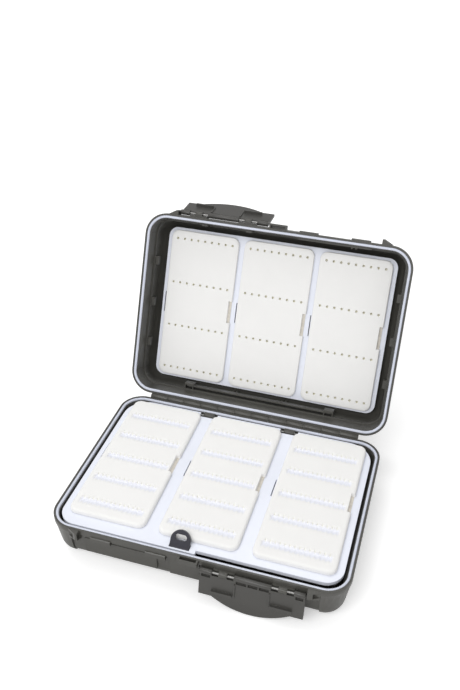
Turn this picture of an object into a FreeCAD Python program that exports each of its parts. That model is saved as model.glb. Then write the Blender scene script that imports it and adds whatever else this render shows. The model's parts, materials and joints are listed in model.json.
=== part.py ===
import FreeCAD, Part
import math
import os

# Hinged fly box: two matching moulded halves, a swing-up page of slit foam pads in the base,
# a tray of drilled foam pads in the lid, two flip latches and a seal in each rim.
# Millimetres. Each half is drawn in its own frame: the parting plane is z = 0, the half lies
# below it, the hinge is at +y and the latch side at -y.

V = FreeCAD.Vector

# ---- case ---------------------------------------------------------------------------------
WIDTH = 223.0            # over the rims, along the hinge
DEPTH = 156.0            # over the rims, front to back
HALF_HEIGHT = 34.0       # underside of a half to the parting plane
RIM_RADIUS = 18.5        # outer corner of the rim
RIM_HEIGHT = 4.5         # depth of the rim flange
RIM_SHY = 0.1            # each rim stops this far short of the parting plane
RIM_INSET = 4.0          # rim outer face to the mouth of the box
MOUTH_DRAFT = 1.2        # the upper wall closes in by this much down to the ledge
LEDGE_DEPTH = 13.0       # parting plane to the ledge inside the wall
LEDGE_WIDTH = 1.2        # width of the ledge
LOWER_DRAFT = 1.3        # the lower wall closes in by this much down to the floor
WALL_STEP = 2.4          # wall outer face behind the rim face
WALL_DRAFT = 3.1         # the outer wall closes in by this much down to the underside
FLOOR = 2.2              # floor thickness
EDGE_ROUND = 11.5        # rounding where the wall meets the underside
BUMPER_SPAN = 19.0       # bumper reach along each side, measured from the rim corner
BUMPER_STEP = 0.3        # bumper face behind the rim face at its top
BUMPER_DRAFT = 4.4       # the bumper closes in by this much down to the underside
BUMPER_ROUND = 12.0      # rounding under each bumper

# ---- seal ---------------------------------------------------------------------------------
SEAL_LIP = 1.45          # rim lip outside the seal
SEAL_WIDTH = 2.1
SEAL_HEIGHT = 1.5
SEAL_SHY = 0.15          # seal face below the parting plane
SEAL_SLACK = 0.02        # gap between the seal and the lip
SEAL_ROUND = 0.8         # rounding along the seal's face

# ---- hinge --------------------------------------------------------------------------------
HINGE_SET_BACK = 2.3     # hinge axis behind the rim face
HINGE_SPAN = 182.0       # length over all the knuckles
HINGE_KNUCKLES = 12      # knuckles, taken in turn by the two halves
KNUCKLE_RADIUS = 2.1
KNUCKLE_GAP = 0.3        # side gap between neighbouring knuckles
HINGE_PIN_RADIUS = 1.0
PIN_CLEARANCE = 0.05     # radial running clearance on every pin
STOP_REACH = 3.0         # length of the stop tooth on a knuckle
STOP_CLEARANCE = 0.1     # tooth to rim when the lid is fully open
LID_OPEN = 113.5         # lid angle when fully open

# ---- latches ------------------------------------------------------------------------------
LATCH_LEFT = 8.5         # latch plate from here
LATCH_RIGHT = 83.6       # to here along the front
LATCH_PIN_OUT = 2.6      # latch pin in front of the rim face
LATCH_PIN_DEPTH = 5.6    # latch pin below the parting plane
LATCH_PIN_RADIUS = 0.9
LATCH_BARREL = 2.1       # radius of the latch barrels and the ears between them
LATCH_THICK = 2.1
LATCH_LENGTH = 20.0      # pin axis to the straight end of the plate
LATCH_REAR = 0.3         # plate back face behind the pin axis
LIP_RISE = 8.6           # height of the curved finger lip past the straight end
LIP_INSET = 8.5          # lip starts this far in from each end of the plate
LIP_THICK = 1.5
EAR_SPANS = ((17.9, 33.1), (60.1, 75.4))    # gaps in the barrels, and the lugs opposite
EAR_WIDTH = 6.0          # ear in the middle of each gap, the pin bare on both sides of it
EAR_BEHIND = 0.15        # bare pin to the wall of the ear behind it
BARREL_BEHIND = 0.4      # barrel to the pad on the wall behind it
BARREL_PAD_LOW = 9.4     # the pad reaches this far below the parting plane
EAR_GAP = 0.3            # side gap between ears and barrels
HOOK_THICK = 1.7
HOOK_SHY = 0.1           # hook tip in front of the rim face, inward side
LUG_LOW = 4.5            # catch lug from here
LUG_HIGH = 8.3           # to here below its own parting plane
LUG_OUT = 1.0            # lug face in front of the rim face
HOOK_CLEARANCE = 0.15    # hook to lug when latched
RIB_POSITIONS = (34.2, 59.0)
WINDOWS = ((9.9, 16.4), (34.9, 42.3), (43.3, 50.3), (51.3, 58.3), (76.9, 82.2))
WINDOW_DEPTH = 1.5       # pockets in the inner face, not through it
WINDOW_LOW = 1.7         # pockets from here
WINDOW_HIGH = 4.9        # to here along the plate, measured from the pin axis
BASE_LATCH_OPEN = 167.0
LID_LATCH_OPEN = 159.0

# ---- fittings on the outside ----------------------------------------------------------------
LOOP_LEFT = -8.0
LOOP_RIGHT = 6.6
LOOP_OUT = 3.8
LOOP_HEIGHT = 4.0
LOOP_WALL = 1.3
LOOP_FLOOR = 0.9
BLOCK_LEFT = -15.4
BLOCK_RIGHT = 6.6
BLOCK_STEP = 0.9         # block face behind the rim face
PANEL_LEFT = -82.0       # plain raised panel on the front wall
PANEL_RIGHT = -26.0
PANEL_TOP = 10.0
PANEL_BOTTOM = 24.0
PANEL_STEP = 2.6         # panel face behind the rim face
EYE_START = 84.5
EYE_LENGTH = 8.3
EYE_OUT = 3.8
EYE_HEIGHT = 12.0
EYE_WALL = 1.2
EYE_HOLE_TOP = 2.2
EYE_HOLE_LOW = 7.2

# ---- fittings on the inside -----------------------------------------------------------------
BOSS_ROWS = (-36.0, 0.0, 36.0)
BOSS_TOP = 14.0          # parting plane to the top of each side boss
BOSS_HEIGHT = 4.0
BOSS_REACH = 5.2         # boss end from the mouth of the box
BOSS_WIDTH = 7.0
RAIL_HALF = 64.0
RAIL_DEPTH = 13.6
RAIL_OUT = 3.2           # rail face from the wall
RAIL_THICK = 6.0
HOOK_END = 8.0           # hooked block at each end of the rail
HOOK_END_OUT = 4.8
RAIL_LIP = 1.0           # lip along the outer edge of the rail, over an undercut
RAIL_UNDERCUT = 5.0      # depth of the undercut in the rail's face
FIN_TOP = 19.4
FIN_HEIGHT = 5.0
FIN_POSITIONS = (-64.0, -22.0, 22.0, 64.0)
PLATE_LEFT = -77.0
PLATE_RIGHT = -17.0

# ---- foam pads ------------------------------------------------------------------------------
PAD_CORNER = 6.0
NOTCH_LENGTH = 19.0      # side notch in each pad
NOTCH_DEPTH = 3.0
BACKING = 0.5            # backing sheet under each pad
BACKING_SHY = 0.6        # backing edge inside the pad edge
CLIP_SLOT = 0.8          # width of the slot beside each pad
CLIP_SLOT_LENGTH = 18.0
SLIT_PAD_THICK = 3.4
SLIT_PAD_FRONT = 9.5     # page front edge to the slit pads
SLIT_PAD_BACK = 2.7      # slit pads to the page pivot
SLIT_NOTCH_SHIFT = 4.0   # notch centre towards the hinge
SLIT_CLIP_SHIFT = 5.5    # clip slot centre towards the hinge
SLIT_PAD_GAP = 10.0      # between neighbouring slit pads
HOLE_PAD_THICK = 2.4
HOLE_PAD_GAP = 5.0       # between neighbouring drilled pads
HOLE_PAD_SIDE = 3.5      # tray side to the outer pads
HOLE_PAD_END = 2.0       # tray end to the pads
PAD_ROUND = 2.0
HOLE_PAD_ROUND = 0.8

# ---- page -----------------------------------------------------------------------------------
PAGE_TOP = 0.8           # page face below the parting plane
PAGE_THICK = 3.0
PAGE_SIDE_GAP = 2.3      # mouth of the box to the page at each side
PAGE_FRONT_GAP = 1.0     # at the ring end of the front edge
PAGE_FRONT_STEP = 3.2    # set back of the rest of the front edge
PAGE_STEP_AT = 2.0       # x of the step in the front edge
PAGE_BACK_GAP = 1.4
PAGE_FRONT_RADIUS = 13.5
PAGE_BACK_RADIUS = 20.0
PAGE_AXIS_INSET = 2.8    # page pivot in front of the mouth at the hinge side
PAGE_PIN_RADIUS = 0.75
PAGE_PIN_GRIP = 3.0      # pin end held in the page each side of a notch
PAGE_NOTCH = 15.0        # notch width in the back edge
PAGE_NOTCH_DEPTH = 5.0
PIVOT_WIDTH = 9.0
PIVOT_RADIUS = 1.5
FOOT_THICK = 2.4
FOOT_WIDTH = 6.0
FOOT_CLEARANCE = 0.1

# ---- pull ring ------------------------------------------------------------------------------
RING_X = -10.3
RING_EDGE = 3.0          # ring axis from the front edge of the page
RING_AXIS = 1.3          # ring axis below the page face
RING_WIDTH = 14.8
RING_HEIGHT = 13.0
RING_THICK = 2.2
RING_BAR = 1.15
RING_TRUNNION = 0.8
RING_GRIP = 2.2
RING_HOLE_WIDTH = 8.8
RING_HOLE_HEIGHT = 4.4
RING_HOLE_AT = 7.6
RING_LEAN = 52.0         # ring angle above the page face
RING_SLOT_FRONT = 1.8
RING_SLOT_BACK = 3.4
RING_SLOT_SIDE = 0.3

# ---- lid tray -------------------------------------------------------------------------------
TRAY_SIDE_GAP = 9.0      # mouth of the box to the tray at each side
TRAY_END_GAP = 8.0       # and at the hinge and latch ends
TRAY_CORNER = 8.0
TRAY_DEPTH = 24.6        # parting plane to the tray face
TRAY_THICK = 1.8
POST_INSET = 14.0        # post centres inside the tray's edge
POST_RADIUS = 3.0

# ---- derived --------------------------------------------------------------------------------
HALF_W = WIDTH / 2.0
HALF_D = DEPTH / 2.0
HINGE_Y = HALF_D + HINGE_SET_BACK
LATCH_Y = -HALF_D - LATCH_PIN_OUT
LATCH_Z = -LATCH_PIN_DEPTH
MOUTH_X = HALF_W - RIM_INSET
MOUTH_Y = HALF_D - RIM_INSET
FLOOR_Z = -HALF_HEIGHT + FLOOR
HINGE_PIN_HOLE = HINGE_PIN_RADIUS + PIN_CLEARANCE
LATCH_PIN_HOLE = LATCH_PIN_RADIUS + PIN_CLEARANCE
PAGE_PIN_HOLE = PAGE_PIN_RADIUS + PIN_CLEARANCE
PAGE_AXIS_Y = MOUTH_Y - PAGE_AXIS_INSET
PAGE_AXIS_Z = -PAGE_TOP - PAGE_THICK / 2.0
PAGE_X = MOUTH_X - PAGE_SIDE_GAP
PAGE_FRONT = -MOUTH_Y + PAGE_FRONT_GAP
PAGE_BACK = MOUTH_Y - PAGE_BACK_GAP
TRAY_WIDTH = 2.0 * (MOUTH_X - TRAY_SIDE_GAP)
TRAY_LENGTH = 2.0 * (MOUTH_Y - TRAY_END_GAP)
PAD_WIDTH = (TRAY_WIDTH - 2.0 * HOLE_PAD_SIDE - 2.0 * HOLE_PAD_GAP) / 3.0
HOLE_PAD_PITCH = PAD_WIDTH + HOLE_PAD_GAP
HOLE_PAD_LENGTH = TRAY_LENGTH - 2.0 * HOLE_PAD_END
SLIT_PAD_PITCH = PAD_WIDTH + SLIT_PAD_GAP
SLIT_PAD_LENGTH = PAGE_AXIS_Y - SLIT_PAD_BACK - PAGE_FRONT - SLIT_PAD_FRONT
SLIT_PAD_SHIFT = (PAGE_AXIS_Y - SLIT_PAD_BACK + PAGE_FRONT + SLIT_PAD_FRONT) / 2.0
PAGE_NOTCH_AT = SLIT_PAD_PITCH / 2.0
RING_Y = PAGE_FRONT + RING_EDGE
RING_Z = -PAGE_TOP - RING_AXIS


def box(x0, x1, y0, y1, z0, z1):
    return Part.makeBox(x1 - x0, y1 - y0, z1 - z0, V(x0, y0, z0))


def rod(x0, x1, y, z, radius):
    return Part.makeCylinder(radius, x1 - x0, V(x0, y, z), V(1, 0, 0))


def rounded_wire(x0, x1, y0, y1, radii, z):
    # radii in the order front-left, front-right, back-right, back-left
    fl, fr, br, bl = radii
    k = math.sqrt(0.5)

    def arc(cx, cy, r, ax, ay, bx, by):
        mid = V(cx + r * k * (ax + bx), cy + r * k * (ay + by), z)
        return Part.Arc(V(cx + r * ax, cy + r * ay, z), mid, V(cx + r * bx, cy + r * by, z)).toShape()

    def line(ax, ay, bx, by):
        return Part.makeLine(V(ax, ay, z), V(bx, by, z))

    edges = [
        line(x0 + fl, y0, x1 - fr, y0),
        arc(x1 - fr, y0 + fr, fr, 0, -1, 1, 0),
        line(x1, y0 + fr, x1, y1 - br),
        arc(x1 - br, y1 - br, br, 1, 0, 0, 1),
        line(x1 - br, y1, x0 + bl, y1),
        arc(x0 + bl, y1 - bl, bl, 0, 1, -1, 0),
        line(x0, y1 - bl, x0, y0 + fl),
        arc(x0 + fl, y0 + fl, fl, -1, 0, 0, -1),
    ]
    return Part.Wire(edges)


def inset_wire(inset, z):
    # outline of the rim moved inwards by inset
    r = RIM_RADIUS - inset
    return rounded_wire(-HALF_W + inset, HALF_W - inset, -HALF_D + inset, HALF_D - inset, (r, r, r, r), z)


def tapered(inset_top, z_top, inset_bottom, z_bottom):
    return Part.makeLoft([inset_wire(inset_top, z_top), inset_wire(inset_bottom, z_bottom)], True, True)


def slab(x0, x1, y0, y1, radii, z0, z1):
    face = Part.Face(rounded_wire(x0, x1, y0, y1, radii, z0))
    return face.extrude(V(0, 0, z1 - z0))


def edges_at(shape, z):
    return [e for e in shape.Edges if all(abs(v.Z - z) < 1e-4 for v in e.Vertexes)]


def prism_x(points, x0, x1):
    # polygon given as (y, z) pairs, drawn out along x
    pts = [V(x0, y, z) for y, z in points]
    face = Part.Face(Part.makePolygon(pts + [pts[0]]))
    return face.extrude(V(x1 - x0, 0, 0))


def prism_z(points, z0, z1):
    pts = [V(x, y, z0) for x, y in points]
    face = Part.Face(Part.makePolygon(pts + [pts[0]]))
    return face.extrude(V(0, 0, z1 - z0))


def knuckle_spans(first):
    # the spans of every other knuckle, starting with the first or the second
    pitch = HINGE_SPAN / HINGE_KNUCKLES
    spans = []
    for i in range(first, HINGE_KNUCKLES, 2):
        left = -HINGE_SPAN / 2.0 + i * pitch
        spans.append((left + KNUCKLE_GAP / 2.0, left + pitch - KNUCKLE_GAP / 2.0))
    return spans


def case_body():
    # rim flange, drafted wall with a rounded underside, and thicker corner bumpers
    bottom_inset = WALL_STEP + WALL_DRAFT
    wall = tapered(WALL_STEP, -RIM_HEIGHT, bottom_inset, -HALF_HEIGHT)
    wall = wall.makeFillet(EDGE_ROUND, edges_at(wall, -HALF_HEIGHT))
    bumper = tapered(BUMPER_STEP, -RIM_HEIGHT, BUMPER_STEP + BUMPER_DRAFT, -HALF_HEIGHT)
    bumper = bumper.makeFillet(BUMPER_ROUND, edges_at(bumper, -HALF_HEIGHT))
    corners = []
    for sx in (-1, 1):
        for sy in (-1, 1):
            x = sorted((sx * HALF_W, sx * (HALF_W - BUMPER_SPAN)))
            y = sorted((sy * HALF_D, sy * (HALF_D - BUMPER_SPAN)))
            corners.append(box(x[0], x[1], y[0], y[1], -HALF_HEIGHT, -RIM_HEIGHT))
    body = wall
    for corner in corners:
        body = body.fuse(bumper.common(corner))
    return body.fuse(tapered(0.0, -RIM_SHY, 0.0, -RIM_HEIGHT))


def cavity():
    upper = tapered(RIM_INSET, 0.0, RIM_INSET + MOUTH_DRAFT, -LEDGE_DEPTH)
    lower_top = RIM_INSET + MOUTH_DRAFT + LEDGE_WIDTH
    lower = tapered(lower_top, -LEDGE_DEPTH, lower_top + LOWER_DRAFT, FLOOR_Z)
    lower = lower.makeFillet(EDGE_ROUND - FLOOR, edges_at(lower, FLOOR_Z))
    return upper.fuse(lower)


def hinge_knuckles(first):
    parts = []
    turn = math.radians(180.0 - LID_OPEN)
    nx, nz = math.cos(turn), math.sin(turn)
    reach = HINGE_SET_BACK - STOP_CLEARANCE
    tooth = [
        (HINGE_Y, 0.0),
        (HINGE_Y + reach * nx, reach * nz),
        (HINGE_Y + reach * nx + STOP_REACH * nz, reach * nz - STOP_REACH * nx),
        (HINGE_Y + STOP_REACH * nz, -STOP_REACH * nx),
    ]
    for x0, x1 in knuckle_spans(first):
        web = box(x0, x1, HALF_D - 0.5, HINGE_Y, -KNUCKLE_RADIUS, -RIM_SHY)
        parts += [rod(x0, x1, HINGE_Y, 0.0, KNUCKLE_RADIUS), web, prism_x(tooth, x0, x1)]
    return parts


def latch_ears():
    parts = []
    for left, right in EAR_SPANS:
        x0 = (left + right - EAR_WIDTH) / 2.0
        x1 = x0 + EAR_WIDTH
        low = LATCH_Z - LATCH_BARREL
        high = LATCH_Z + LATCH_BARREL
        parts.append(rod(x0, x1, LATCH_Y, LATCH_Z, LATCH_BARREL))
        back = -HALF_D + WALL_STEP + 1.0
        parts.append(box(x0, x1, LATCH_Y, back, low, high))
        parts.append(box(left, right, LATCH_Y + LATCH_PIN_HOLE + EAR_BEHIND, back, low, high))
    # plain pad on the wall close behind the barrels
    front = LATCH_Y + LATCH_BARREL + BARREL_BEHIND
    parts.append(box(LATCH_LEFT, LATCH_RIGHT, front, -HALF_D + WALL_STEP + 1.0, -BARREL_PAD_LOW, -RIM_HEIGHT + 0.1))
    return parts


def catch_lugs():
    parts = []
    for x0, x1 in EAR_SPANS:
        front = -HALF_D - LUG_OUT
        back = -HALF_D + WALL_STEP + 1.0
        profile = [(front, -LUG_HIGH), (back, -LUG_HIGH), (back, -LUG_LOW + 0.5), (front + 0.6, -LUG_LOW + 0.5),
                   (front, -LUG_LOW)]
        parts.append(prism_x(profile, -x1, -x0))
    return parts


def front_fittings():
    # padlock loop, plain block behind it, flat panel and a strap eye near each front corner
    y0 = -HALF_D - LOOP_OUT
    loop = box(LOOP_LEFT, LOOP_RIGHT, y0, -HALF_D + 1.0, -RIM_SHY - 0.2 - LOOP_HEIGHT, -RIM_SHY - 0.2)
    hole = box(LOOP_LEFT + LOOP_WALL, LOOP_RIGHT - LOOP_WALL, y0 + LOOP_WALL, -HALF_D - 0.1,
               -RIM_SHY - 0.2 - LOOP_HEIGHT + LOOP_FLOOR, 1.0)
    parts = [loop.cut(hole)]
    block_low = -HALF_HEIGHT + EDGE_ROUND
    parts.append(box(BLOCK_LEFT, BLOCK_RIGHT, -HALF_D + BLOCK_STEP, -HALF_D + WALL_STEP + 2.0, block_low,
                     -RIM_HEIGHT + 0.5))
    parts.append(box(PANEL_LEFT, PANEL_RIGHT, -HALF_D + PANEL_STEP, -HALF_D + RIM_INSET + 2.0, -PANEL_BOTTOM,
                     -PANEL_TOP))
    for side in (-1, 1):
        a = EYE_START
        b = EYE_START + EYE_LENGTH
        tip = -HALF_D - EYE_OUT
        root = -HALF_D + WALL_STEP + 1.5
        outer = [(a, root), (a, tip), (a + 1.6, tip), (b, -HALF_D), (b, root)]
        outer = [(side * x, y) for x, y in outer]
        fin = prism_z(outer, -EYE_HEIGHT, -RIM_SHY - 0.2)
        ends = sorted((side * (a - 1.0), side * (b + 1.0)))
        slope = [(tip - 1.0, -EYE_HEIGHT - 1.0), (tip - 1.0, -EYE_HOLE_LOW), (tip, -EYE_HOLE_LOW),
                 (root, -EYE_HEIGHT), (root, -EYE_HEIGHT - 1.0)]
        fin = fin.cut(prism_x(slope, ends[0], ends[1]))
        hole = box(ends[0], ends[1], tip + EYE_WALL, -HALF_D - 0.1, -EYE_HOLE_LOW, -EYE_HOLE_TOP)
        parts.append(fin.cut(hole))
    return parts


def wall_inset(z):
    # inner wall inset from the rim face at height z
    if z > -LEDGE_DEPTH:
        return RIM_INSET + MOUTH_DRAFT * (-z) / LEDGE_DEPTH
    run = (-z - LEDGE_DEPTH) / (-FLOOR_Z - LEDGE_DEPTH)
    return RIM_INSET + MOUTH_DRAFT + LEDGE_WIDTH + LOWER_DRAFT * run


def inner_fittings():
    parts = []
    boss_end = MOUTH_X - BOSS_REACH
    for row in BOSS_ROWS:
        for side in (-1, 1):
            x = sorted((side * boss_end, side * (MOUTH_X - 1.5)))
            low = -BOSS_TOP - BOSS_HEIGHT
            parts.append(box(x[0], x[1], row - BOSS_WIDTH / 2.0, row + BOSS_WIDTH / 2.0, low, -BOSS_TOP))
    # rail with a hook at each end, and pairs of fins, on the hinge-side wall
    face = HALF_D - wall_inset(-RAIL_DEPTH)
    low = -RAIL_DEPTH - RAIL_THICK
    rail = box(-RAIL_HALF, RAIL_HALF, face - RAIL_OUT, face + 0.8, low, -RAIL_DEPTH)
    undercut = box(-RAIL_HALF - 1.0, RAIL_HALF + 1.0, face - RAIL_OUT + RAIL_LIP, face, -RAIL_DEPTH - RAIL_UNDERCUT,
                   -RAIL_DEPTH + 1.0)
    parts.append(rail.cut(undercut))
    for side in (-1, 1):
        x = sorted((side * (RAIL_HALF + 2.0), side * (RAIL_HALF + 2.0 - HOOK_END)))
        block = box(x[0], x[1], face - HOOK_END_OUT, face + 0.8, low - 1.2, -RAIL_DEPTH + 0.6)
        hollow = box(x[0] + 0.8, x[1] - 0.8, face - HOOK_END_OUT + 1.6, face, -RAIL_DEPTH - RAIL_UNDERCUT,
                     -RAIL_DEPTH + 1.6)
        parts.append(block.cut(hollow))
    for at in FIN_POSITIONS:
        for shift in (-1.6, 1.6):
            parts.append(box(at + shift - 0.6, at + shift + 0.6, face - 3.4, face + 0.8, -FIN_TOP - FIN_HEIGHT,
                             -FIN_TOP))
    # slanted-end clip plate and two small clips on the front wall
    wall = -HALF_D + wall_inset(-5.0)
    profile = [(PLATE_LEFT, -4.6), (PLATE_RIGHT, -4.6), (PLATE_RIGHT - 6.0, -11.6), (PLATE_LEFT + 6.0, -11.6)]
    pts = [V(x, wall - 0.6, z) for x, z in profile]
    plate = Part.Face(Part.makePolygon(pts + [pts[0]])).extrude(V(0, 2.2, 0))
    parts.append(plate)
    for at in (PLATE_LEFT + 14.0 - 1.6, PLATE_LEFT + 14.0 + 1.6):
        parts.append(box(at - 0.5, at + 0.5, wall - 0.6, wall + 2.8, -13.6, -4.6))
    for at in (24.0, 62.0):
        parts.append(box(at - 2.5, at + 2.5, wall - 0.6, wall + 2.0, -9.0, -5.0))
    return parts


def page_pivots():
    # two arms from the hinge-side wall that carry the page pins
    parts = []
    for at in (-PAGE_NOTCH_AT, PAGE_NOTCH_AT):
        x0 = at - PIVOT_WIDTH / 2.0
        x1 = at + PIVOT_WIDTH / 2.0
        arm = box(x0, x1, PAGE_AXIS_Y, MOUTH_Y, PAGE_AXIS_Z - PIVOT_RADIUS, PAGE_AXIS_Z + PIVOT_RADIUS)
        arm = arm.fuse(rod(x0, x1, PAGE_AXIS_Y, PAGE_AXIS_Z, PIVOT_RADIUS))
        parts.append(arm)
    return parts


def shell(with_pivots):
    body = case_body()
    body = body.fuse(hinge_knuckles(0) + latch_ears() + catch_lugs() + front_fittings())
    body = body.cut(cavity())
    rebate = SEAL_LIP
    groove = tapered(rebate, 0.5, rebate, -SEAL_SHY - SEAL_HEIGHT)
    body = body.cut(groove)
    inner = inner_fittings()
    if with_pivots:
        inner += page_pivots()
    body = body.fuse(inner)
    holes = [rod(-HALF_W, HALF_W, HINGE_Y, 0.0, HINGE_PIN_HOLE)]
    holes.append(rod(LATCH_LEFT, LATCH_RIGHT, LATCH_Y, LATCH_Z, LATCH_PIN_HOLE))
    body = body.cut(holes)
    if with_pivots:
        for at in (-PAGE_NOTCH_AT, PAGE_NOTCH_AT):
            body = body.cut(rod(at - PAGE_NOTCH / 2.0, at + PAGE_NOTCH / 2.0, PAGE_AXIS_Y, PAGE_AXIS_Z,
                                PAGE_PIN_HOLE))
    return body.removeSplitter()


def seal():
    outer = SEAL_LIP + SEAL_SLACK
    inner = outer + SEAL_WIDTH
    low = -SEAL_SHY - SEAL_HEIGHT
    ring = tapered(outer, -SEAL_SHY, outer, low)
    ring = ring.cut(tapered(inner, 0.5, inner, low - 0.5))
    return ring.makeFillet(SEAL_ROUND, edges_at(ring, -SEAL_SHY))


def hinge_pin():
    return rod(-HINGE_SPAN / 2.0 + 0.2, HINGE_SPAN / 2.0 - 0.2, HINGE_Y, 0.0, HINGE_PIN_RADIUS)


def barrel_spans():
    edges = [LATCH_LEFT]
    for x0, x1 in EAR_SPANS:
        edges += [x0 - EAR_GAP, x1 + EAR_GAP]
    edges.append(LATCH_RIGHT)
    return [(edges[i], edges[i + 1]) for i in range(0, len(edges), 2)]


def latch():
    # latch plate standing shut, reaching past the parting plane
    rear = LATCH_Y + LATCH_REAR
    front = rear - LATCH_THICK
    clear = LATCH_BARREL + 0.5
    top = LATCH_Z + LATCH_LENGTH
    plate = box(LATCH_LEFT, LATCH_RIGHT, front, rear, LATCH_Z + clear, top)
    parts = []
    for x0, x1 in barrel_spans():
        parts.append(rod(x0, x1, LATCH_Y, LATCH_Z, LATCH_BARREL))
        parts.append(box(x0, x1, front, rear, LATCH_Z, LATCH_Z + clear + 0.1))
    hook_low = LUG_HIGH + HOOK_CLEARANCE
    for x0, x1 in EAR_SPANS:
        parts.append(box(x0, x1, rear - 0.5, -HALF_D + HOOK_SHY, hook_low, hook_low + HOOK_THICK))
    for at in RIB_POSITIONS:
        parts.append(box(at - 0.5, at + 0.5, rear - 0.2, rear + 0.8, LATCH_Z + 5.2, hook_low + HOOK_THICK))
    # curved finger lip past the straight end
    lip_x0 = LATCH_LEFT + LIP_INSET
    lip_x1 = LATCH_RIGHT - LIP_INSET
    half_chord = (lip_x1 - lip_x0) / 2.0
    radius = (half_chord ** 2 + LIP_RISE ** 2) / (2.0 * LIP_RISE)
    centre = V((lip_x0 + lip_x1) / 2.0, front - 5.0, top + LIP_RISE - radius)
    disc = Part.makeCylinder(radius, 12.0, centre, V(0, 1, 0))
    profile = [(front, top - 3.0), (front + LIP_THICK, top - 3.0),
               (front + LIP_THICK, top + LIP_RISE), (front, top + LIP_RISE)]
    parts.append(prism_x(profile, lip_x0, lip_x1).common(disc))
    body = plate.fuse(parts)
    for x0, x1 in WINDOWS:
        body = body.cut(box(x0, x1, rear - WINDOW_DEPTH, rear + 2.0, LATCH_Z + WINDOW_LOW, LATCH_Z + WINDOW_HIGH))
    body = body.cut(rod(LATCH_LEFT - 1.0, LATCH_RIGHT + 1.0, LATCH_Y, LATCH_Z, LATCH_PIN_HOLE))
    return body.removeSplitter()


def latch_pin():
    return rod(LATCH_LEFT + 0.2, LATCH_RIGHT - 0.2, LATCH_Y, LATCH_Z, LATCH_PIN_RADIUS)


def page():
    z1 = -PAGE_TOP
    z0 = z1 - PAGE_THICK
    rf, rb = PAGE_FRONT_RADIUS, PAGE_BACK_RADIUS
    body = slab(-PAGE_X, PAGE_X, PAGE_FRONT, PAGE_BACK, (rf, rf, rb, rb), z0, z1)
    # right part of the front edge stands back from the rim
    step = PAGE_FRONT + PAGE_FRONT_STEP
    keep = slab(-PAGE_X, PAGE_X, step, PAGE_BACK, (rf, rf, rb, rb), z0 - 1.0, z1 + 1.0)
    left = box(-HALF_W, PAGE_STEP_AT, -HALF_D, HALF_D, z0 - 1.0, z1 + 1.0)
    body = body.common(keep.fuse(left))
    for at in (-PAGE_NOTCH_AT, PAGE_NOTCH_AT):
        half = PAGE_NOTCH / 2.0
        body = body.cut(box(at - half, at + half, PAGE_BACK - PAGE_NOTCH_DEPTH, PAGE_BACK + 1.0, z0 - 1.0,
                            z1 + 1.0))
        grip = half + PAGE_PIN_GRIP
        body = body.cut(rod(at - grip, at + grip, PAGE_AXIS_Y, PAGE_AXIS_Z, PAGE_PIN_HOLE))
    for i in (-1, 0, 1):
        x = i * SLIT_PAD_PITCH - PAD_WIDTH / 2.0 - 1.6
        y = SLIT_CLIP_SHIFT
        body = body.cut(box(x, x + CLIP_SLOT, y - CLIP_SLOT_LENGTH / 2.0, y + CLIP_SLOT_LENGTH / 2.0, z0 - 1.0,
                            z1 + 1.0))
    slot_half = RING_WIDTH / 2.0 + RING_SLOT_SIDE
    body = body.cut(box(RING_X - slot_half, RING_X + slot_half, RING_Y - RING_SLOT_FRONT, RING_Y + RING_SLOT_BACK,
                        z0 - 1.0, z1 + 1.0))
    grip = slot_half + RING_GRIP
    body = body.cut(rod(RING_X - grip, RING_X + grip, RING_Y, RING_Z, RING_TRUNNION + PIN_CLEARANCE))
    feet = []
    for row in BOSS_ROWS:
        for side in (-1, 1):
            x = sorted((side * (PAGE_X - 0.8), side * (PAGE_X - 0.8 - FOOT_THICK)))
            feet.append(box(x[0], x[1], row - FOOT_WIDTH / 2.0, row + FOOT_WIDTH / 2.0,
                            -BOSS_TOP + FOOT_CLEARANCE, z0))
    return body.fuse(feet).removeSplitter()


def page_pins():
    grip = PAGE_NOTCH / 2.0 + PAGE_PIN_GRIP - 0.2
    pins = []
    for at in (-PAGE_NOTCH_AT, PAGE_NOTCH_AT):
        pins.append(rod(at - grip, at + grip, PAGE_AXIS_Y, PAGE_AXIS_Z, PAGE_PIN_RADIUS))
    return Part.makeCompound(pins)


def pull_ring():
    # drawn lying back along +y from its axis, then leaned up
    half = RING_WIDTH / 2.0
    t = RING_THICK / 2.0
    arch = RING_HEIGHT - half
    plate = box(-half, half, 0.0, arch, -t, t)
    plate = plate.fuse(Part.makeCylinder(half, RING_THICK, V(0, arch, -t), V(0, 0, 1)))
    plate = plate.cut(box(-half - 1.0, half + 1.0, -half - 1.0, 0.0, -t - 1.0, t + 1.0))
    r = RING_HOLE_HEIGHT / 2.0
    run = RING_HOLE_WIDTH / 2.0 - r
    hole = box(-run, run, RING_HOLE_AT - r, RING_HOLE_AT + r, -t - 1.0, t + 1.0)
    for sx in (-1, 1):
        hole = hole.fuse(Part.makeCylinder(r, RING_THICK + 2.0, V(sx * run, RING_HOLE_AT, -t - 1.0), V(0, 0, 1)))
    body = plate.cut(hole)
    reach = half + RING_SLOT_SIDE + RING_GRIP - 0.2
    body = body.fuse([rod(-half, half, 0.0, 0.0, RING_BAR), rod(-reach, reach, 0.0, 0.0, RING_TRUNNION)])
    body = body.removeSplitter()
    body.rotate(V(0, 0, 0), V(1, 0, 0), RING_LEAN)
    body.translate(V(RING_X, RING_Y, RING_Z))
    return body


def pad_blank(x, y, length, shy, z0, z1):
    half_w = PAD_WIDTH / 2.0 - shy
    half_l = length / 2.0 - shy
    r = PAD_CORNER
    return slab(x - half_w, x + half_w, y - half_l, y + half_l, (r, r, r, r), z0, z1)


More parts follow.
